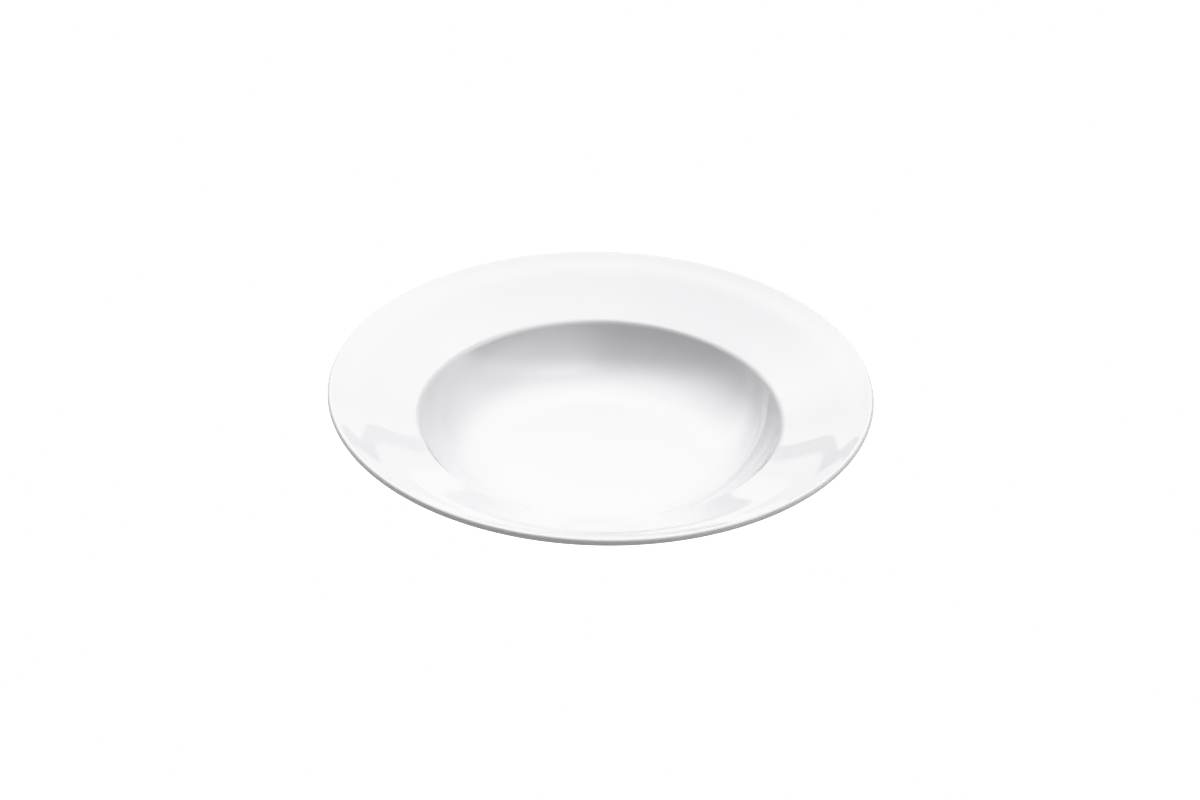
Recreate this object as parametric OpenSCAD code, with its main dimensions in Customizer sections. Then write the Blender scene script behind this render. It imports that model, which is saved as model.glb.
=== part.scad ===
// Pasta bowl of white glazed porcelain: a broad sloping rim round a deep curved well, on a foot ring.
// Millimetres and degrees. The foot stands on z = 0 and the bowl's axis is Z.

/* [Rim] */
// Overall diameter, to the outside of the rounded edge
rim_d = 280; // [260:1:320]
// Overall height, from the foot to the crest of the edge
bowl_h = 52; // [46:0.5:60]
// Slope of the rim where it leaves the well
rim_slope = 22.2; // [18:0.1:25]
// How much steeper the rim gets over its outer half
rim_dish = 1.2; // [0.4:0.1:2.5]
// Radius of the long turn into the steeper half
dish_turn_r = 600; // [200:20:700]
// How much flatter the outer band of the rim lies
band_ease = 4.4; // [1:0.1:6]
// Width of the outer band
band_w = 7.3; // [6.5:0.1:12]
// Radius of the soft turn from the rim into its outer band
band_turn_r = 100; // [40:2:120]
// How much the edge lifts again outside the band
edge_lift = 3; // [0.5:0.1:4.5]
// Width of the lifted edge
edge_w = 7; // [5:0.1:10]
// Radius of the soft turn from the band into the lifted edge
edge_turn_r = 80; // [20:2:100]
// Thickness of the rim at its rounded edge
lip_t = 3.6; // [2.8:0.1:4.6]
// Thickness of the rim where it meets the well
rim_t = 4.6; // [3.8:0.1:6]

/* [Well] */
// Diameter of the well at its brink, where the rim turns down
well_d = 188; // [176:1:200]
// Slope of the wall
wall_slope = 59.5; // [54:0.5:72]
// Thickness of the wall
wall_t = 5; // [4:0.1:6.5]
// Thickness of the floor outside the foot ring
floor_t = 3.6; // [3.2:0.1:7]
// Radius of the turn from the rim into the wall
brink_r = 5.5; // [2:0.5:12]
// Radius of the cove from the wall into the floor
cove_r = 48.5; // [20:0.5:50]
// Radius under the brink, where the rim springs from the wall
throat_r = 7; // [3:0.5:14]
// Radius of the underside where the wall turns in towards the foot
heel_r = 33; // [12:0.5:36]

/* [Foot] */
// Outer diameter of the foot ring where it stands
foot_d = 116; // [96:1:122]
// Width of the foot ring where it stands
foot_w = 5; // [4:0.1:8]
// Height of the foot ring below the underside
foot_h = 3.2; // [2.8:0.1:5]
// Depth of the recess inside the foot ring
recess_h = 2.8; // [2.4:0.1:4.4]
// Lean of the foot ring's two sides
foot_lean = 14; // [4:1:25]
// Radius where the foot ring grows out of the underside
root_r = 2; // [0.5:0.1:4]
// Radius of the edges of the tread
tread_r = 0.8; // [0.3:0.1:1.2]

/* [Glaze] */
// Thickness of the fired glaze
glaze_t = 0.3; // [0.15:0.05:0.5]
// Height of the bare band that is wiped clean above the tread
bare_h = 1.2; // [0.9:0.1:1.6]

/* [Hidden] */

// Share of the way from the brink to the outer band at which the rim steepens
dish_share = 0.5;
// Share of the lip's thickness that each of its two roundings takes
lip_round_share = 0.48;
// Share of a straight stretch that the roundings at its two ends may use between them
stretch_share = 0.98;
// Most that a chord may stand off the arc it follows
arc_sag = 0.015;
// Facets of a turn about the axis
turn_facets = 180;

quarter = 90;
half_turn = 180;

rim_r = rim_d / 2;
well_r = well_d / 2;
foot_r = foot_d / 2;
floor_z = foot_h + floor_t;
lip_r = lip_t * lip_round_share;
dish_slope = rim_slope + rim_dish;
band_slope = dish_slope - band_ease;
edge_slope = band_slope + edge_lift;

// Unit vector at an angle, and the one to its left, which points out of the clay along every outline
function along(a) = [cos(a), sin(a)];
function out(a) = [-sin(a), cos(a)];

// Corner of the lip before it is rounded, set so that the rounded edge reaches rim_r and bowl_h
lip = [
    rim_r - lip_r * (1 - cos(edge_slope)) - (lip_t - lip_r) * sin(edge_slope),
    bowl_h - lip_r * (1 - sin(edge_slope) - cos(edge_slope))
];
lip_low = lip - lip_t * out(edge_slope);
edge_root = lip - edge_w * along(edge_slope);
band_root = edge_root - band_w * along(band_slope);
dish_x = well_r + (band_root.x - well_r) * dish_share;
dish = [dish_x, band_root.y - (band_root.x - dish_x) * tan(dish_slope)];
brink = [well_r, dish.y - (dish_x - well_r) * tan(rim_slope)];

// A side of an outline is a point on it, the angle it runs at, and the radius of the turn into it
function crossing(s, t) =
    s[0] + along(s[1]) * cross(t[0] - s[0], along(t[1])) / cross(along(s[1]), along(t[1]));

axis = [[0, 0], quarter];
bare_line = [[0, bare_h], 0];
wall_under = [brink - wall_t * out(wall_slope), half_turn + wall_slope, throat_r];
throat = crossing([brink - rim_t * out(rim_slope), rim_slope], wall_under);
rim_under_angle = atan2(throat.y - lip_low.y, throat.x - lip_low.x);
foot_side = [[foot_r, 0], half_turn + quarter - foot_lean, root_r];
foot_inner_side = [[foot_r - foot_w, 0], quarter + foot_lean, tread_r];

// The glazed skin, from the middle of the floor over the lip and down to the foot
coat_sides = [
    [[0, floor_z], 0, 0],
    [brink, wall_slope, cove_r],
    [brink, rim_slope, brink_r],
    [dish, dish_slope, dish_turn_r],
    [band_root, band_slope, band_turn_r],
    [edge_root, edge_slope, edge_turn_r],
    [lip, edge_slope - quarter, lip_r],
    [lip_low, rim_under_angle, lip_r],
    wall_under,
    [[0, foot_h], half_turn, heel_r],
    foot_side
];

// The glazed skin inside the foot ring
base_sides = [
    foot_inner_side,
    [[0, recess_h], half_turn, root_r]
];

// A side moved out of the clay by a distance
function moved(s, d) = [s[0] + d * out(s[1]), s[1], s[2]];

// Smaller turn between two directions, positive to the left
function turn_angle(a, b) = atan2(sin(b - a), cos(b - a));

// Arc into a corner from its straight stretch at angle a, turning by t, with the tangent length reach
function arc(corner, a, t, reach) =
    let (
        radius = reach / tan(abs(t) / 2),
        centre = corner - reach * along(a) + sign(t) * radius * out(a),
        steps = ceil(abs(t) / (2 * acos(1 - min(arc_sag / radius, 1 / 2))))
    )
    [for (i = [0 : steps]) centre - sign(t) * radius * out(a + t * i / steps)];

// Points of an outline that starts on one line, follows its sides moved out by d, and ends on another.
// Where a stretch is too short for the two roundings at its ends, both shrink alike.
function outline(first, sides, last, d) =
    let (
        m = [for (s = sides) moved(s, d)],
        end = len(m) - 1,
        corners = [
            crossing(first, m[0]),
            for (i = [1 : end]) crossing(m[i - 1], m[i]),
            crossing(last, m[end])
        ],
        turns = [0, for (i = [1 : end]) turn_angle(m[i - 1][1], m[i][1])],
        asked = [
            0,
            for (i = [1 : end]) (m[i][2] - sign(turns[i]) * d) * tan(abs(turns[i]) / 2),
            0
        ],
        fits = [
            for (i = [0 : end])
                min(1, stretch_share * norm(corners[i + 1] - corners[i]) / (asked[i] + asked[i + 1]))
        ]
    )
    [
        corners[0],
        for (i = [1 : end])
            each arc(corners[i], m[i - 1][1], turns[i], asked[i] * min(fits[i - 1], fits[i])),
        corners[end + 1]
    ];

// Points of an outline after its first, so that joined outlines share one point
function rest_of(points) = [for (i = [1 : len(points) - 1]) points[i]];

function reversed(points) = [for (i = [len(points) - 1 : -1 : 0]) points[i]];

// The clay's own outline lies under the glaze, and the tread lies bare
clay_coat = outline(axis, coat_sides, bare_line, -glaze_t);
clay_tread = outline(
    bare_line,
    [moved(foot_side, -glaze_t), [[0, 0], half_turn, tread_r], moved(foot_inner_side, -glaze_t)],
    bare_line,
    0
);
clay_base = outline(bare_line, base_sides, axis, -glaze_t);

module turned(points) {
    rotate_extrude($fn = turn_facets)
        polygon(points);
}

// The fired clay: rim, wall, floor and foot ring in one piece, with only the tread bare
module porcelain_body() {
    color("#ece8e0")
        turned(concat(clay_coat, rest_of(clay_tread), rest_of(clay_base)));
}

// The glaze over the inside, the rim, the lip and the underside, down to the foot ring
module glaze_coat() {
    color("#fbfbf9")
        turned(concat(outline(axis, coat_sides, bare_line, 0), reversed(clay_coat)));
}

// The glaze in the recess inside the foot ring
module base_glaze() {
    color("#f6f6f3")
        turned(concat(outline(bare_line, base_sides, axis, 0), reversed(clay_base)));
}

porcelain_body();
glaze_coat();
base_glaze();
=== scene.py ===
import math

import bpy
from mathutils import Matrix, Vector


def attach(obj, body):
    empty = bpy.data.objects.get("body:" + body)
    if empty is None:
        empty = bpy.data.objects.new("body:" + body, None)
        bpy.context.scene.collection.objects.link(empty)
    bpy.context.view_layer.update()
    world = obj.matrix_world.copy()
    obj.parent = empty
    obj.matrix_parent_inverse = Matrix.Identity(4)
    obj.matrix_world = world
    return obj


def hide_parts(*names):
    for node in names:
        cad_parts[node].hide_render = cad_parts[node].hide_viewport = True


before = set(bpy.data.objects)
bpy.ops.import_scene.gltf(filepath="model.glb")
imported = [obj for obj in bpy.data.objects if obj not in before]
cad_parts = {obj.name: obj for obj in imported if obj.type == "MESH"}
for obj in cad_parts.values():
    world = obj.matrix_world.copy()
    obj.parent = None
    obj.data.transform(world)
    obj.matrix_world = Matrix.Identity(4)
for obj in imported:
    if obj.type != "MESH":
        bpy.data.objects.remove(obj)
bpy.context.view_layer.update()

# Sizes of the bowl, in metres and radians
MM = 0.001
RIM_R = 140 * MM
BOWL_H = 52 * MM
RIM_SLOPE = math.radians(22.2)
DISH_SLOPE = math.radians(23.4)
DISH_SHARE = 0.5
DISH_TURN_R = 600 * MM
BAND_SLOPE = math.radians(19)
BAND_W = 7.3 * MM
BAND_TURN_R = 100 * MM
EDGE_SLOPE = math.radians(22)
EDGE_W = 7 * MM
EDGE_TURN_R = 80 * MM
LIP_T = 3.6 * MM
LIP_R = 0.48 * LIP_T
RIM_T = 4.6 * MM
WELL_R = 94 * MM
WALL_SLOPE = math.radians(59.5)
WALL_T = 5 * MM
FLOOR_T = 3.6 * MM
BRINK_R = 5.5 * MM
COVE_R = 48.5 * MM
THROAT_R = 7 * MM
HEEL_R = 33 * MM
FOOT_R = 58 * MM
FOOT_W = 5 * MM
FOOT_H = 3.2 * MM
RECESS_H = 2.8 * MM
FOOT_LEAN = math.radians(14)
ROOT_R = 2 * MM
TREAD_R = 0.8 * MM
GLAZE_T = 0.3 * MM
BARE_H = 1.2 * MM

QUARTER = math.pi / 2
HALF_TURN = math.pi

# Fineness of the meshes
TURN_STEPS = 240
ARC_STEP = math.radians(4)
FEWEST_ARC_STEPS = 4
STRAIGHT_STEP = 5 * MM
SEAM = 0.001 * MM
SHARP_EDGE = math.radians(40)


# Outlines, in the plane of the axis: x runs out from the axis and y up it

def along(angle):
    """Unit vector at an angle."""
    return Vector((math.cos(angle), math.sin(angle)))


def out_of(angle):
    """Unit vector to the left of an angle, which points out of the clay along every outline."""
    return Vector((-math.sin(angle), math.cos(angle)))


def crossing(side, other):
    """Where two sides meet. A side is a point on it, its angle and the radius of the turn into it."""
    run, other_run = along(side[1]), along(other[1])
    return side[0] + run * ((other[0] - side[0]).cross(other_run) / run.cross(other_run))


def turn_between(angle, other):
    """The smaller turn from one angle to another, positive to the left."""
    return math.remainder(other - angle, math.tau)


def sunk(side, depth):
    """A side moved into the clay."""
    point, angle, radius = side
    return point - depth * out_of(angle), angle, radius


def corners_of(first, sides, last, depth=0):
    """Corners of an outline that lies a depth under its sides, each with the radius that rounds it."""
    sides = [sunk(side, depth) for side in sides]
    corners = [(crossing(first, sides[0]), 0)]
    for side, following in zip(sides, sides[1:]):
        bend = math.copysign(depth, turn_between(side[1], following[1]))
        corners.append((crossing(side, following), following[2] + bend))
    return corners + [(crossing(last, sides[-1]), 0)]


axis = (Vector((0, 0)), QUARTER)
bare_line = (Vector((0, BARE_H)), 0)
lip = Vector((
    RIM_R - LIP_R * (1 - math.cos(EDGE_SLOPE)) - (LIP_T - LIP_R) * math.sin(EDGE_SLOPE),
    BOWL_H - LIP_R * (1 - math.sin(EDGE_SLOPE) - math.cos(EDGE_SLOPE)),
))
lip_low = lip - LIP_T * out_of(EDGE_SLOPE)
edge_root = lip - EDGE_W * along(EDGE_SLOPE)
band_root = edge_root - BAND_W * along(BAND_SLOPE)
dish_x = WELL_R + (band_root.x - WELL_R) * DISH_SHARE
dish = Vector((dish_x, band_root.y - (band_root.x - dish_x) * math.tan(DISH_SLOPE)))
brink = Vector((WELL_R, dish.y - (dish_x - WELL_R) * math.tan(RIM_SLOPE)))
wall_under = (brink - WALL_T * out_of(WALL_SLOPE), HALF_TURN + WALL_SLOPE, THROAT_R)
throat = crossing((brink - RIM_T * out_of(RIM_SLOPE), RIM_SLOPE), wall_under)
rim_under_angle = math.atan2(throat.y - lip_low.y, throat.x - lip_low.x)

coat_sides = [
    (Vector((0, FOOT_H + FLOOR_T)), 0, 0),
    (brink, WALL_SLOPE, COVE_R),
    (brink, RIM_SLOPE, BRINK_R),
    (dish, DISH_SLOPE, DISH_TURN_R),
    (band_root, BAND_SLOPE, BAND_TURN_R),
    (edge_root, EDGE_SLOPE, EDGE_TURN_R),
    (lip, EDGE_SLOPE - QUARTER, LIP_R),
    (lip_low, rim_under_angle, LIP_R),
    wall_under,
    (Vector((0, FOOT_H)), HALF_TURN, HEEL_R),
    (Vector((FOOT_R, 0)), HALF_TURN + QUARTER - FOOT_LEAN, ROOT_R),
]
base_sides = [
    (Vector((FOOT_R - FOOT_W, 0)), QUARTER + FOOT_LEAN, TREAD_R),
    (Vector((0, RECESS_H)), HALF_TURN, ROOT_R),
]
tread_sides = [
    sunk(coat_sides[-1], GLAZE_T),
    (Vector((0, 0)), HALF_TURN, TREAD_R),
    sunk(base_sides[0], GLAZE_T),
]

coat_skin = corners_of(axis, coat_sides, bare_line)
coat_clay = corners_of(axis, coat_sides, bare_line, GLAZE_T)
base_skin = corners_of(bare_line, base_sides, axis)
base_clay = corners_of(bare_line, base_sides, axis, GLAZE_T)
tread_clay = corners_of(bare_line, tread_sides, bare_line)


# Modelling, as on a wheel: an outline is drawn from the axis out and back, then turned about it

def draw_straight(start, end):
    """Carries the selected point on to the end of a straight stretch."""
    steps = math.ceil((end - start).length / STRAIGHT_STEP)
    for _ in range(steps):
        step = (end - start) / steps
        bpy.ops.mesh.extrude_vertices_move(TRANSFORM_OT_translate={"value": (step.x, 0, step.y)})


def draw_outline(corners):
    """Draws straight stretches and true arcs through a list of corners, from a single point."""
    here = corners[0][0]
    bpy.ops.transform.translate(value=(here.x, 0, here.y))
    for (before, _), (corner, radius), (after, _) in zip(corners, corners[1:], corners[2:]):
        arrive, leave = corner - before, after - corner
        angle = math.atan2(arrive.y, arrive.x)
        turn = turn_between(angle, math.atan2(leave.y, leave.x))
        reach = radius * math.tan(abs(turn) / 2)
        start = corner - reach * along(angle)
        draw_straight(here, start)
        here = start
        if radius:
            centre = start + math.copysign(radius, turn) * out_of(angle)
            bpy.ops.mesh.spin(
                steps=max(FEWEST_ARC_STEPS, math.ceil(abs(turn) / ARC_STEP)),
                angle=abs(turn),
                center=(centre.x, 0, centre.y),
                axis=(0, math.copysign(1, turn), 0),
            )
            here = corner + reach * along(angle + turn)
    draw_straight(here, corners[-1][0])


def turned(name, corners):
    """A closed solid of revolution about the bowl's axis."""
    bpy.ops.object.select_all(action="DESELECT")
    bpy.ops.mesh.primitive_plane_add(size=FOOT_R)
    piece = bpy.context.object
    piece.name = name
    bpy.ops.object.mode_set(mode="EDIT")
    bpy.ops.mesh.merge(type="CENTER")
    draw_outline(corners)
    bpy.ops.mesh.select_all(action="SELECT")
    bpy.ops.mesh.spin(steps=TURN_STEPS, angle=math.tau, center=(0, 0, 0), axis=(0, 0, 1))
    bpy.ops.mesh.select_all(action="SELECT")
    bpy.ops.mesh.remove_doubles(threshold=SEAM)
    bpy.ops.mesh.normals_make_consistent(inside=False)
    bpy.ops.object.mode_set(mode="OBJECT")
    bpy.ops.object.shade_smooth_by_angle(angle=SHARP_EDGE)
    even = piece.modifiers.new("even_shading", "WEIGHTED_NORMAL")
    even.keep_sharp = True
    bpy.ops.object.modifier_apply(modifier=even.name)
    return piece


# Shader maths

class Socket:
    """An output of a shader node that Python's own operators work on."""

    def __init__(self, tree, output=None):
        self.tree = tree
        self.output = output

    def node(self, kind, settings, values, output=0):
        """Adds a node, sets it up, then fills its sockets with numbers, colours or links."""
        made = self.tree.nodes.new("ShaderNode" + kind)
        for name, setting in settings.items():
            if name == "stops":
                self.set_stops(made.color_ramp, setting)
            else:
                setattr(made, name, setting)
        for name, value in values.items():
            if isinstance(value, Socket):
                self.tree.links.new(value.output, made.inputs[name])
            else:
                made.inputs[name].default_value = value
        return Socket(self.tree, made.outputs[output])

    @staticmethod
    def set_stops(ramp, stops):
        """Gives a colour ramp its stops, each a place and a grey."""
        while len(ramp.elements) < len(stops):
            ramp.elements.new(1)
        for element, (place, grey) in zip(ramp.elements, stops):
            element.position = place
            element.color = (grey, grey, grey, 1)

    def math(self, operation, *values):
        """Adds a Math node."""
        return self.node("Math", {"operation": operation}, dict(enumerate(values)))

    def __add__(self, other):
        return self.math("ADD", self, other)

    __radd__ = __add__

    def __sub__(self, other):
        return self.math("SUBTRACT", self, other)

    def __rsub__(self, other):
        return self.math("SUBTRACT", other, self)

    def __mul__(self, other):
        return self.math("MULTIPLY", self, other)

    __rmul__ = __mul__

    def __truediv__(self, other):
        return self.math("DIVIDE", self, other)

    def step(self, start, end):
        """Rises smoothly from 0 at one value to 1 at another."""
        settings = {"interpolation_type": "SMOOTHSTEP"}
        return self.node("MapRange", settings, {"Value": self, "From Min": start, "From Max": end})


def new_material(name):
    """A material with its Principled shader, and a socket to start its maths from."""
    material = bpy.data.materials.new(name)
    material.use_nodes = True
    tree = material.node_tree
    return material, tree.nodes["Principled BSDF"], Socket(tree)


def place_on(wire):
    """The surface's place in the bowl's frame, its distance from the axis and its height, in metres."""
    place = wire.node("TexCoord", {}, {}, "Object")
    flat = wire.node("VectorMath", {"operation": "MULTIPLY"}, {0: place, 1: (1, 1, 0)})
    radius = wire.node("VectorMath", {"operation": "LENGTH"}, {0: flat}, "Value")
    height = wire.node("SeparateXYZ", {}, {"Vector": place}, "Z")
    return place, radius, height


def noise(wire, place, size, detail=2, roughness=0.5):
    """Soft noise from 0 to 1 whose lumps have about this size, in metres."""
    values = {"Vector": place, "Scale": 1 / size, "Detail": detail, "Roughness": roughness}
    return wire.node("TexNoise", {}, values, "Fac")


def mixed(wire, factor, colour, other):
    """One colour where the factor is 0, the other where it is 1."""
    return wire.node("Mix", {"data_type": "RGBA"}, {"Factor": factor, 6: colour, 7: other}, 2)


def bump(wire, height, depth):
    """A normal that follows a height of 0 to 1, of this depth in metres."""
    return wire.node("Bump", {}, {"Height": height, "Distance": depth, "Strength": 1}, "Normal")


def link(wire, socket, shader, name):
    """Feeds a socket into one of a shader's inputs."""
    wire.tree.links.new(socket.output, shader.inputs[name])


# Glaze: its refractive index, the width of the thin part on the lip, and its colours
GLAZE_IOR = 1.65
THIN_W = 1.2 * MM
WHITE = (0.65, 0.642, 0.652, 1)
POOLED = (0.637, 0.639, 0.652, 1)
THIN = (0.61, 0.594, 0.578, 1)

# Bare clay, clean and where it is rubbed
CLAY = (0.62, 0.60, 0.56, 1)
CLAY_WORN = (0.50, 0.48, 0.45, 1)


def glaze(name, white):
    """Clear gloss over white clay: it pools in soft clouds, thins on the lip and lies a little wavy."""
    material, shader, wire = new_material(name)
    place, radius, _ = place_on(wire)
    cloud = noise(wire, place, 45 * MM)
    pooled = noise(wire, place, 18 * MM, 3) * 0.5
    thin = radius.step(RIM_R - THIN_W, RIM_R) * (0.4 + 0.3 * noise(wire, place, 6 * MM))
    tone = mixed(wire, pooled, white, POOLED)
    tone = mixed(wire, thin, tone, THIN)
    link(wire, tone, shader, "Base Color")
    shader.inputs["IOR"].default_value = GLAZE_IOR
    link(wire, 0.015 + 0.02 * cloud, shader, "Roughness")
    waves = noise(wire, place, 22 * MM, 1)
    link(wire, bump(wire, waves, 0.01 * MM), shader, "Normal")
    return material


def bare_clay(name):
    """Fired clay wiped free of glaze: a fine dry grain, rubbed grey where it stands."""
    material, shader, wire = new_material(name)
    place, _, height = place_on(wire)
    grain = noise(wire, place, 0.5 * MM, 4, 0.7)
    rubbed = (1 - height.step(0, 0.3 * MM)) * noise(wire, place, 5 * MM, 3)
    link(wire, mixed(wire, rubbed, CLAY, CLAY_WORN), shader, "Base Color")
    link(wire, 0.7 + 0.25 * grain, shader, "Roughness")
    link(wire, bump(wire, grain, 0.06 * MM), shader, "Normal")
    return material


# The three pieces

def finish_piece(piece, material, node):
    """Gives a piece its material and puts it in the place of a solid of the frame."""
    piece.data.materials.append(material)
    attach(piece, "root")
    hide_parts(node)


finish_piece(
    turned("porcelain", coat_clay[:-1] + tread_clay[1:-1] + base_clay[1:]),
    bare_clay("bare_porcelain"), "porcelain_body",
)
finish_piece(
    turned("coat", coat_skin + coat_clay[::-1]), glaze("coat_glaze", WHITE), "glaze_coat"
)
finish_piece(
    turned("base", base_skin[::-1] + base_clay), glaze("recess_glaze", POOLED), "base_glaze"
)


# Studio: a large softbox that arches from behind the bowl to over it, a low backdrop, white bounce
# boards at the sides, and a white floor

# The floor's size in metres, how white it looks and how grey it is to the light that bounces
FLOOR_SIZE = 12
FLOOR_WHITE = 1.3
FLOOR_GLOW_SHARE = 0.97
FLOOR_GREY = 0.6

# Glow of the softbox by the angle up from the horizon behind, in degrees, and its share by the angle
# to the right, for its lower part and its top
LOW_GLOW = [(15.5, 0), (15.6, 0.92), (24, 0.92), (38, 1.59), (56, 0)]
LOW_SHARE = [(-60, 0.63), (-38, 1.56), (-20, 1.47), (0, 0.98), (20, 1.11), (38, 0.57), (60, 0.61)]
TOP_GLOW = [(38, 0), (56, 3.02), (76, 3.19), (94, 2.35), (114, 0.09), (150, 0)]
TOP_SHARE = [(-60, 0.14), (-38, 0.6), (-20, 0.86), (0, 1), (20, 0.86), (38, 0.51), (60, 0.46)]

# Glow of the backdrop and of the dimmer gap above it, by the angle to the right
BACKDROP_GLOW = [
    (-60, 0), (-45, 1.08), (-14, 1.08), (-4, 0.68),
    (4, 0.68), (14, 0.86), (26, 0.86), (36, 0),
]
GAP_GLOW = [(-60, 0), (-45, 0.59), (-14, 0.59), (-4, 0), (4, 0), (14, 0.5), (26, 0.5), (36, 0)]
BACKDROP_ARCH = (-2, -1, 9, 11.5)
GAP_ARCH = (9, 11.5, 15.5, 15.6)

# Glow of the bounce boards by the angle round to the right from behind, and the heights they span
TALL_BOARD_GLOW = [
    (-180, 0.3), (-165, 0), (-100, 0), (-80, 0.5), (-60, 0.5), (-40, 0),
    (80, 0), (100, 1.24), (145, 1.28), (160, 1.2), (180, 0.3),
]
LOW_BOARD_GLOW = [(40, 0), (60, 0.6), (80, 0.6), (100, 0)]
TALL_BOARD_HEIGHT = (15, 35, 75, 88)
LOW_BOARD_HEIGHT = (-2, -1, 10, 20)

# The camera's place, seen from the middle of the rim, and its framing
CAMERA_AWAY = 1.8
CAMERA_PITCH = math.radians(32.03)
CAMERA_ROLL = math.radians(1.37)
CAMERA_LENS = 105.25
CAMERA_SHIFT = (-0.0008, -0.0118)

# The film: the brightest value it takes, its contrast, where its whites start to roll off, and the
# places on its curve, as shares of the brightest value
FILM_WHITE = 1.4
FILM_CONTRAST = 1.3
FILM_SHOULDER = 0.9
FILM_STOPS = [
    0.07, 0.14, 0.21, 0.28, 0.36, 0.43, 0.5, 0.57,
    0.61, 0.64, 0.68, 0.71, 0.75, 0.79, 0.86, 0.93,
]


def pale_floor():
    """A floor that looks white, lights the bowl as a mid grey one and is clear from below."""
    bpy.ops.object.select_all(action="DESELECT")
    bpy.ops.mesh.primitive_plane_add(size=FLOOR_SIZE)
    floor = bpy.context.object
    floor.name = "floor"
    material, shader, wire = new_material("floor")
    shader.inputs["Base Color"].default_value = (FLOOR_GREY, FLOOR_GREY, FLOOR_GREY, 1)
    shader.inputs["Roughness"].default_value = 1
    shader.inputs["Specular IOR Level"].default_value = 0
    grey = Socket(wire.tree, shader.outputs["BSDF"])
    glow = wire.node("Emission", {}, {"Color": (1, 1, 1, 1), "Strength": FLOOR_WHITE})
    white = wire.node("MixShader", {}, {"Fac": FLOOR_GLOW_SHARE, 1: grey, 2: glow})
    seen = wire.node("LightPath", {}, {}, "Is Camera Ray")
    top = wire.node("MixShader", {}, {"Fac": seen, 1: grey, 2: white})
    from_below = wire.node("NewGeometry", {}, {}, "Backfacing")
    clear = wire.node("BsdfTransparent", {}, {})
    surface = wire.node("MixShader", {}, {"Fac": from_below, 1: top, 2: clear})
    output = wire.tree.nodes["Material Output"]
    wire.tree.links.new(surface.output, output.inputs["Surface"])
    floor.data.materials.append(material)


def ramp(wire, angle, knots):
    """A value read off straight lines between knots, each an angle in degrees and a value."""
    first, last = math.radians(knots[0][0]), math.radians(knots[-1][0])
    most = max(value for _, value in knots)
    stops = [((math.radians(place) - first) / (last - first), value / most) for place, value in knots]
    share = (angle - first) / (last - first)
    grey = wire.node("ValToRGB", {"stops": stops}, {"Fac": share})
    return most * grey


def between(angle, start, full, late, end):
    """1 between two angles in degrees and 0 outside two others."""
    return angle.step(math.radians(start), math.radians(full)) * (
        1 - angle.step(math.radians(late), math.radians(end))
    )


def room():
    """Dark all round, but for the softbox, the backdrop and the bounce boards."""
    world = bpy.data.worlds.new("room")
    world.use_nodes = True
    bpy.context.scene.world = world
    wire = Socket(world.node_tree)
    way = wire.node("TexCoord", {}, {}, "Generated")
    right = wire.node("SeparateXYZ", {}, {"Vector": way}, "X")
    back = wire.node("SeparateXYZ", {}, {"Vector": way}, "Y")
    up = wire.node("SeparateXYZ", {}, {"Vector": way}, "Z")
    arch = up.math("ARCTAN2", up, back)
    aside = right.math("ARCSINE", right)
    round_right = right.math("ARCTAN2", right, back)
    height = up.math("ARCSINE", up)
    low_box = ramp(wire, arch, LOW_GLOW) * ramp(wire, aside, LOW_SHARE)
    top_box = ramp(wire, arch, TOP_GLOW) * ramp(wire, aside, TOP_SHARE)
    backdrop = ramp(wire, aside, BACKDROP_GLOW) * between(arch, *BACKDROP_ARCH)
    gap = ramp(wire, aside, GAP_GLOW) * between(arch, *GAP_ARCH)
    tall_board = ramp(wire, round_right, TALL_BOARD_GLOW) * between(height, *TALL_BOARD_HEIGHT)
    low_board = ramp(wire, round_right, LOW_BOARD_GLOW) * between(height, *LOW_BOARD_HEIGHT)
    glow = low_box + top_box + backdrop + gap + tall_board + low_board
    seen = wire.node("LightPath", {}, {}, "Is Camera Ray")
    strength = glow + seen * (FLOOR_WHITE - glow)
    wire.tree.links.new(strength.output, world.node_tree.nodes["Background"].inputs["Strength"])
    world.node_tree.nodes["Background"].inputs["Color"].default_value = (1, 1, 1, 1)


def photo_camera():
    """Camera at the photograph's height, turned and shifted as the photograph is framed."""
    data = bpy.data.cameras.new("camera")
    data.lens = CAMERA_LENS
    data.shift_x, data.shift_y = CAMERA_SHIFT
    camera = bpy.data.objects.new("camera", data)
    bpy.context.scene.collection.objects.link(camera)
    camera.matrix_world = (
        Matrix.Translation((0, 0, BOWL_H))
        @ Matrix.Rotation(QUARTER - CAMERA_PITCH, 4, "X")
        @ Matrix.Rotation(CAMERA_ROLL, 4, "Z")
        @ Matrix.Translation((0, 0, CAMERA_AWAY))
    )
    bpy.context.scene.camera = camera


def film():
    """The photograph's tones: a little contrast, and whites that roll off softly."""
    view = bpy.context.scene.view_settings
    view.view_transform = "Standard"
    view.use_curve_mapping = True
    view.curve_mapping.white_level = (FILM_WHITE, FILM_WHITE, FILM_WHITE)
    curve = view.curve_mapping.curves[3]
    curve.points[1].location = (1, 1)
    room_left = 1 - FILM_SHOULDER
    for share in FILM_STOPS:
        tone = (share * FILM_WHITE) ** FILM_CONTRAST
        if tone > FILM_SHOULDER:
            tone = 1 - room_left * math.exp((FILM_SHOULDER - tone) / room_left)
        curve.points.new(share, tone)
    view.curve_mapping.update()


pale_floor()
room()
photo_camera()
film()
